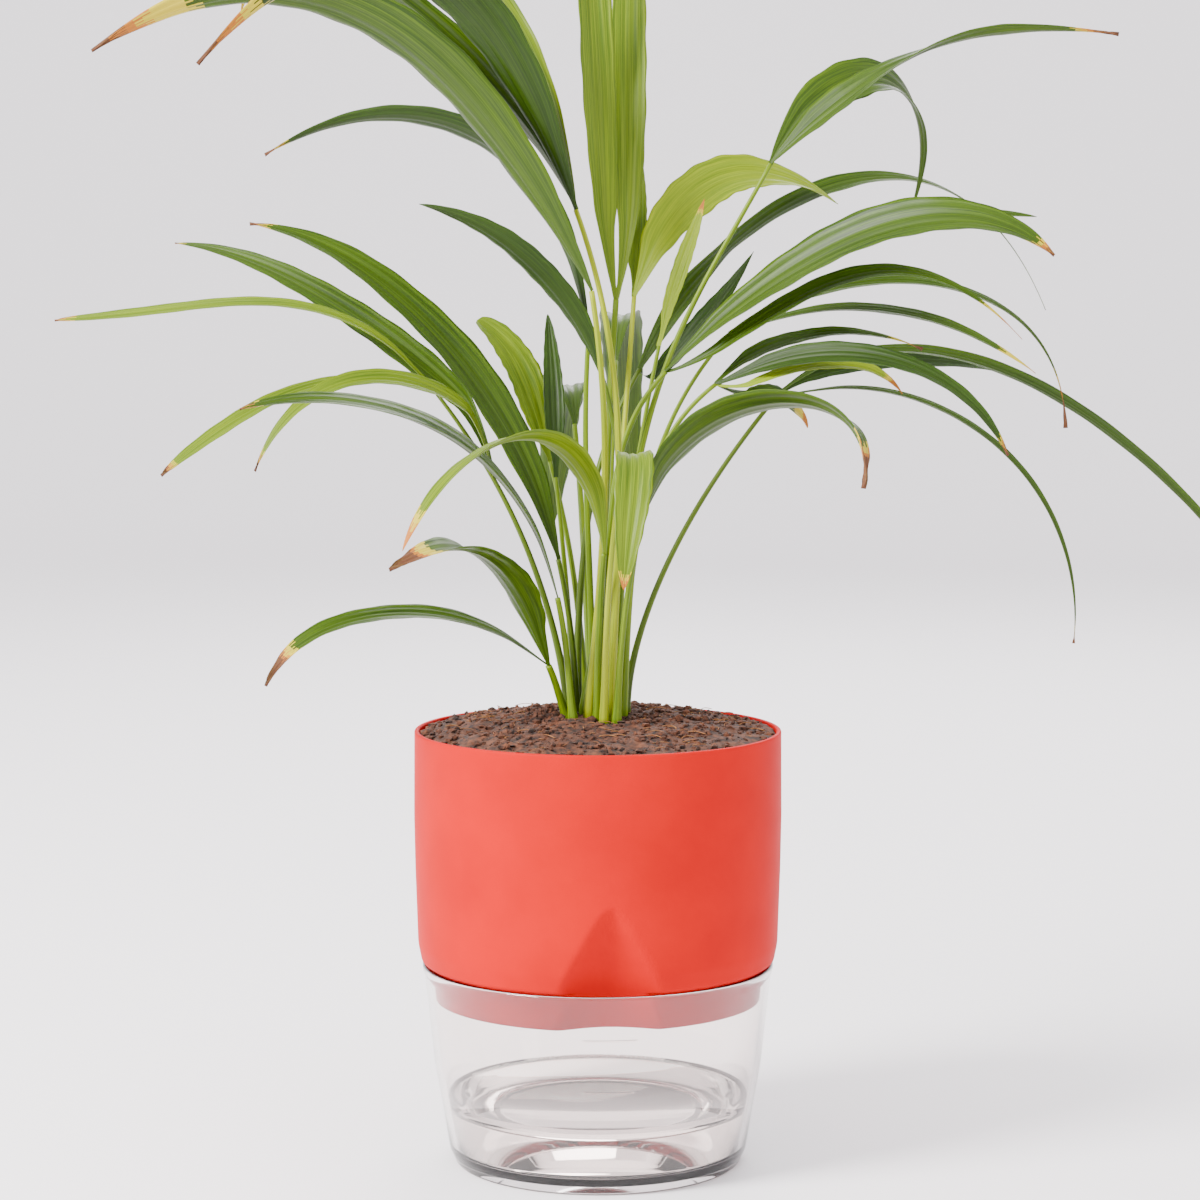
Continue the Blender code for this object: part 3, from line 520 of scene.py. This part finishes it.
def coral_material():
    m, nt, b = new_material("coral_plastic")
    tc = nt.nodes.new("ShaderNodeTexCoord")
    n = nt.nodes.new("ShaderNodeTexNoise")
    n.inputs["Scale"].default_value = 45.0
    n.inputs["Detail"].default_value = 5.0
    nt.links.new(tc.outputs["Object"], n.inputs["Vector"])
    nt.links.new(ramp_between(nt, n.outputs["Fac"], (0.40, 0.0, 0.0), (0.45, 0.0002, 0.0)), b.inputs["Base Color"])
    fine = nt.nodes.new("ShaderNodeTexNoise")
    fine.inputs["Scale"].default_value = 900.0
    nt.links.new(tc.outputs["Object"], fine.inputs["Vector"])
    bp = nt.nodes.new("ShaderNodeBump")
    bp.inputs["Strength"].default_value = 0.10
    bp.inputs["Distance"].default_value = 0.0002
    nt.links.new(fine.outputs["Fac"], bp.inputs["Height"])
    nt.links.new(bp.outputs[0], b.inputs["Normal"])
    b.inputs["Roughness"].default_value = 0.55
    b.inputs["Specular IOR Level"].default_value = 0.05
    return m


def clear_material(name, ior, colour, rough):
    m, nt, b = new_material(name)
    b.inputs["Base Color"].default_value = (*colour, 1)
    b.inputs["Transmission Weight"].default_value = 1.0
    b.inputs["IOR"].default_value = ior
    b.inputs["Roughness"].default_value = rough
    return m


CORAL = coral_material()


def scoop(z, w):
    """Radius of the dent's surface at a height and angle, or a large one outside it."""
    d = DENT_TOP_Z - .0028 - z
    if d <= 0:
        return 1.0
    d = math.sqrt(d * d + .010 * d)                # the arch has a round top
    side = RIM_R * math.sin(w - math.radians(DENT_TURN))
    q = side / (d * DENT_WIDE * 1.02)
    if abs(q) >= 1 or math.cos(w - math.radians(DENT_TURN)) < 0:
        return 1.0
    return RIM_R - d * DENT_DEEP * (1 - q * q)


def fine(profile, step=.0012):
    out = [profile[0]]
    for a, b in zip(profile, profile[1:]):
        n = max(1, int(math.dist(a, b) / step))
        out += [(a[0] + (b[0] - a[0]) * i / n, a[1] + (b[1] - a[1]) * i / n) for i in range(1, n + 1)]
    return out


outer = fine(round_corners([
    (.0440, NECK_Z), (NECK_R - .0003, NECK_Z), (NECK_R + .0006, SHOULDER_Z), (.0580, SHOULDER_Z + .0002),
    (.0592, .0730), (.0600, .0980), (.0603, .1150), (.0601, RIM_Z), (.0585, RIM_Z), (.0584, .1405)], .0013))
inner = fine(round_corners([
    (.0584, .1405), (.0583, .1150), (.0579, .0780), (.0567, .0706), (.0519, .0690), (.0519, NECK_Z + .0030),
    (.0440, NECK_Z + .0030)], .0013))[1:]
around = 256
pts, faces, rings = [], [], []
for r, z in outer:
    rings.append(len(pts))
    for k in range(around):
        w = 2 * math.pi * k / around
        q = min(r, scoop(z, w)) if z < .1 else r
        pts.append((q * math.cos(w), q * math.sin(w), z))
for r, z in inner:
    rings.append(len(pts))
    for k in range(around):
        w = 2 * math.pi * k / around
        q = min(r, min(scoop(z, w), scoop(z + .002, w), scoop(z - .002, w)) - .0024) if z < .1 else r
        pts.append((q * math.cos(w), q * math.sin(w), z))
for a, b in zip(rings, rings[1:]):
    for k in range(around):
        j = (k + 1) % around
        faces.append([a + k, a + j, b + j, b + k])
pts += [(0, 0, NECK_Z), (0, 0, NECK_Z + .0030)]
for k in range(around):
    j = (k + 1) % around
    faces.append([len(pts) - 2, rings[0] + j, rings[0] + k])
    faces.append([len(pts) - 1, rings[-1] + k, rings[-1] + j])
planter = mesh_object("planter_wall", pts, faces, [CORAL])
outward(planter)
planter.data.set_sharp_from_angle(angle=math.radians(50))
part(planter, "planter", "planter")

CLEAR = clear_material("clear_plastic", 1.49, (0.985, 0.935, 0.915), 0.03)
reservoir = turned("reservoir_wall", round_corners([
    (0, 0), (.0472, 0), (.0492, .0045), (.0514, .0184), (.0539, .0323), (.0571, .0625), (.0578, .0640),
    (LIP_R, LIP_Z), (.0558, LIP_Z), (.0552, .0625), (.0519, .0323), (.0494, .0184), (.0474, .0060), (.0440, FLOOR),
    (.0385, FLOOR), (.0378, FLOOR + .0010), (.0350, FLOOR + .0010), (.0343, FLOOR), (0, FLOOR)], .0009), CLEAR, 192)
reservoir.data.set_sharp_from_angle(angle=math.radians(40))
part(reservoir, "reservoir", "reservoir")
# the water's pink tint is painted light: red light bounced from the coral planter, coloured into the water itself
WATER = clear_material("water_painted_planter_bounce", 1.333, (0.99, 0.93, 0.90), 0.0)
water = turned("water_body", [
    (0, FLOOR + .0002), (.0343, FLOOR + .0002), (.0350, FLOOR + .0012), (.0378, FLOOR + .0012), (.0385, FLOOR + .0002),
    (.0436, FLOOR + .0002), (.0470, .0062), (.0491, .0184), (.0497, WATER_Z + .0006), (.0488, WATER_Z), (0, WATER_Z)],
    WATER, 192)
part(water, "water", "water")
# generic raised level lines on the reservoir's front
for k, (z, r) in enumerate(((.0520, .05601), (.0350, .05419))):
    pts, faces, n = [], [], 40
    for i in range(n + 1):
        w = math.radians(-86 - 9 + 18 * i / n)
        e = min(i, n - i, 2) / 2
        for dr, dz in ((-.0002, -.0003), (.00035 * e + .00005, -.00025), (.00035 * e + .00005, .00025), (-.0002, .0003)):
            pts.append(((r + dr) * math.cos(w), (r + dr) * math.sin(w), z + dz))
    for i in range(n):
        for j in range(4):
            faces.append([4*i + j, 4*i + (j+1) % 4, 4*i + 4 + (j+1) % 4, 4*i + 4 + j])
    faces += [[0, 1, 2, 3], [4*n + 3, 4*n + 2, 4*n + 1, 4*n]]
    line = mesh_object("level_line_%d" % k, pts, faces, [CLEAR], smooth=False)
    outward(line)
    part(line, "reservoir")


# ---- soil ----------------------------------------------------------------------------------
def soil_material():
    m, nt, b = new_material("soil_coir")
    tc = nt.nodes.new("ShaderNodeTexCoord")
    n = nt.nodes.new("ShaderNodeTexNoise")
    n.inputs["Scale"].default_value = 420.0
    n.inputs["Detail"].default_value = 6.0
    nt.links.new(tc.outputs["Object"], n.inputs["Vector"])
    nt.links.new(ramp_between(nt, n.outputs["Fac"], (0.012, 0.0035, 0.0015), (0.13, 0.038, 0.013), .36, .74), b.inputs["Base Color"])
    bp = nt.nodes.new("ShaderNodeBump")
    bp.inputs["Strength"].default_value = 0.6
    bp.inputs["Distance"].default_value = 0.0006
    nt.links.new(n.outputs["Fac"], bp.inputs["Height"])
    nt.links.new(bp.outputs[0], b.inputs["Normal"])
    b.inputs["Roughness"].default_value = 0.95
    return m


SOIL = soil_material()
FIBRE = streaked("soil_fibre", (0.12, 0.042, 0.016), (0.30, 0.13, 0.055), .9, 3, 4, .1)


def soil_height(x, y):
    r = math.hypot(x, y)
    f = min(1.0, r / .0575)
    z = SOIL_EDGE_Z + (SOIL_TOP_Z + .0010 - SOIL_EDGE_Z) * (1 - f ** 2) + .0012 * f * (y / .058)
    z += .0007 * math.sin(x * 310 + 1) * math.sin(y * 270 + 2) + .0004 * math.sin(x * 900) * math.cos(y * 850)
    return z


pts, faces, rings_n, around = [], [], 36, 120
pts.append((0, 0, soil_height(0, 0)))
for i in range(1, rings_n + 1):
    r = .0581 * i / rings_n
    for k in range(around):
        w = 2 * math.pi * k / around
        x, y = r * math.cos(w), r * math.sin(w)
        pts.append((x, y, soil_height(x, y) + rng.normal(0, .00022)))
for z, r in ((.1150, .0580), (.0790, .0574), (.0712, .0558), (.0695, .0514), (.0579, .0512)):
    for k in range(around):
        w = 2 * math.pi * k / around
        q = r
        turn = abs((math.degrees(w) - 274 + 180) % 360 - 180)
        if z < .105:                                 # the soil keeps clear behind the dent
            h = DENT_TOP_Z + .007 - z
            half = math.degrees(math.atan2(h * DENT_WIDE, RIM_R)) + 3
            if h > 0 and turn < half:
                q = min(r, RIM_R - h * DENT_DEEP * math.sqrt(max(0, 1 - (turn / half) ** 2)) - .001)
        pts.append((q * math.cos(w), q * math.sin(w), z))
pts.append((0, 0, .0579))
for k in range(around):
    faces.append([0, 1 + k, 1 + (k + 1) % around])
layers = rings_n + 5
for i in range(layers - 1):
    for k in range(around):
        a, b = 1 + i * around, 1 + (i + 1) * around
        faces.append([a + k, b + k, b + (k + 1) % around, a + (k + 1) % around])
a = 1 + (layers - 1) * around
for k in range(around):
    faces.append([len(pts) - 1, a + (k + 1) % around, a + k])
soil = mesh_object("soil_bed", pts, faces, [SOIL])
outward(soil)
part(soil, "soil", "soil")

ICO = []
bm = bmesh.new()
bmesh.ops.create_icosphere(bm, subdivisions=1, radius=1.0)
ico_v = np.array([v.co[:] for v in bm.verts])
ico_f = [[v.index for v in f.verts] for f in bm.faces]
bm.free()
pts, faces = [], []
for i in range(2600):
    r = .0572 * math.sqrt(rng.random())
    w = rng.random() * 2 * math.pi
    x, y = r * math.cos(w), r * math.sin(w)
    size = .00025 + .00125 * rng.random() ** 3
    v = ico_v * (1 + rng.normal(0, .22, (len(ico_v), 1))) * size * np.array([1, .5 + rng.random(), .4 + .5 * rng.random()])
    c, s = math.cos(w * 7), math.sin(w * 7)
    v = v @ np.array([[c, -s, 0], [s, c, 0], [0, 0, 1]])
    n0 = len(pts)
    pts += [tuple(q) for q in v + np.array([x, y, soil_height(x, y) + size * .25])]
    faces += [[n0 + j for j in f] for f in ico_f]
for i in range(160):                                 # the crumb mound left of the stems
    x, y = -.0175 + rng.normal(0, .0035), -.004 + rng.normal(0, .004)
    size = .0005 + .0011 * rng.random() ** 2
    v = ico_v * (1 + rng.normal(0, .25, (len(ico_v), 1))) * size
    n0 = len(pts)
    z = soil_height(x, y) + max(0, .0042 - 700 * .35 * ((x + .0175) ** 2 + (y + .004) ** 2)) * rng.random()
    pts += [tuple(q) for q in v + np.array([x, y, z])]
    faces += [[n0 + j for j in f] for f in ico_f]
crumbs = mesh_object("soil_crumbs", pts, faces, [SOIL], smooth=False)
outward(crumbs)
part(crumbs, "soil")

pts, faces, uvs = [], [], []
for i in range(150):
    r = .052 * math.sqrt(rng.random())
    w = rng.random() * 2 * math.pi
    x, y = r * math.cos(w), r * math.sin(w)
    a, length, rad = rng.random() * 2 * math.pi, .002 + .007 * rng.random(), .00009 + .00010 * rng.random()
    n, n0 = 7, len(pts)
    curl = rng.normal(0, 1.2)
    hx, hy, hz = x, y, soil_height(x, y) + .0003
    for j in range(n):
        lift = math.sin(math.pi * j / (n - 1)) * length * .07
        for k in range(4):
            ww = math.pi / 2 * k
            pts.append((hx - math.sin(a) * rad * math.cos(ww), hy + math.cos(a) * rad * math.cos(ww), hz + lift + rad * math.sin(ww)))
            uvs.append((j / n, k / 4))
        a += curl / n
        hx, hy = hx + math.cos(a) * length / n, hy + math.sin(a) * length / n
        if math.hypot(hx, hy) > .0562:
            hx, hy = hx * .97, hy * .97
    for j in range(n - 1):
        for k in range(4):
            faces.append([n0 + 4*j + k, n0 + 4*j + (k+1) % 4, n0 + 4*j + 4 + (k+1) % 4, n0 + 4*j + 4 + k])
    faces += [[n0, n0+3, n0+2, n0+1], [n0 + 4*n - 4, n0 + 4*n - 3, n0 + 4*n - 2, n0 + 4*n - 1]]
fibres = mesh_object("soil_fibres", pts, faces, [FIBRE], uvs=uvs)
outward(fibres)
part(fibres, "soil")

# ---- floor, light and camera ---------------------------------------------------------------
m, nt, b = new_material("pale_floor")
b.inputs["Base Color"].default_value = (0.86, 0.83, 0.85, 1)
b.inputs["Roughness"].default_value = 0.8
floor_pts, floor_faces, steps = [], [], 24
rows = [(-14.0, 0.0)] + [(2.2 + 1.2 * math.sin(math.pi/2*i/steps), 1.2 * (1 - math.cos(math.pi/2*i/steps))) for i in range(steps + 1)] + [(3.4, 4.0)]
for y, z in rows:
    floor_pts += [(-14, y, z), (14, y, z)]
for i in range(len(rows) - 1):
    floor_faces.append([2*i, 2*i + 1, 2*i + 3, 2*i + 2])
floor = mesh_object("stage_floor", floor_pts, floor_faces, [m])

world = bpy.data.worlds.new("soft")
bpy.context.scene.world = world
world.use_nodes = True
world.node_tree.nodes["Background"].inputs[0].default_value = (0.95, 0.94, 0.96, 1)
world.node_tree.nodes["Background"].inputs[1].default_value = 2.15


def area(name, place, target, size, power, colour=(1, 1, 1)):
    light = bpy.data.lights.new(name, "AREA")
    light.shape, light.size, light.energy, light.color = "DISK", size, power, colour
    obj = bpy.data.objects.new(name, light)
    bpy.context.scene.collection.objects.link(obj)
    obj.location = place
    from mathutils import Vector
    obj.rotation_euler = (Vector(target) - Vector(place)).to_track_quat("-Z", "Y").to_euler()


area("key", (-1.1, -0.7, 1.1), (0, 0, .22), .6, 80, (1.0, .985, .96))
area("fill", (1.3, -0.9, .7), (0, 0, .2), 1.2, 6, (.97, .98, 1.0))
area("back", (.3, 1.3, 1.2), (0, 0, .25), 1.0, 22)

cam = bpy.data.cameras.new("camera")
cam.lens, cam.sensor_width = 96.0, 36.0
cam.clip_start = 0.01
camera = bpy.data.objects.new("camera", cam)
bpy.context.scene.collection.objects.link(camera)
camera.location = (0.0007, -1.04, 0.2895)
camera.rotation_euler = (math.radians(90 - 5.71), 0, 0)
bpy.context.scene.camera = camera
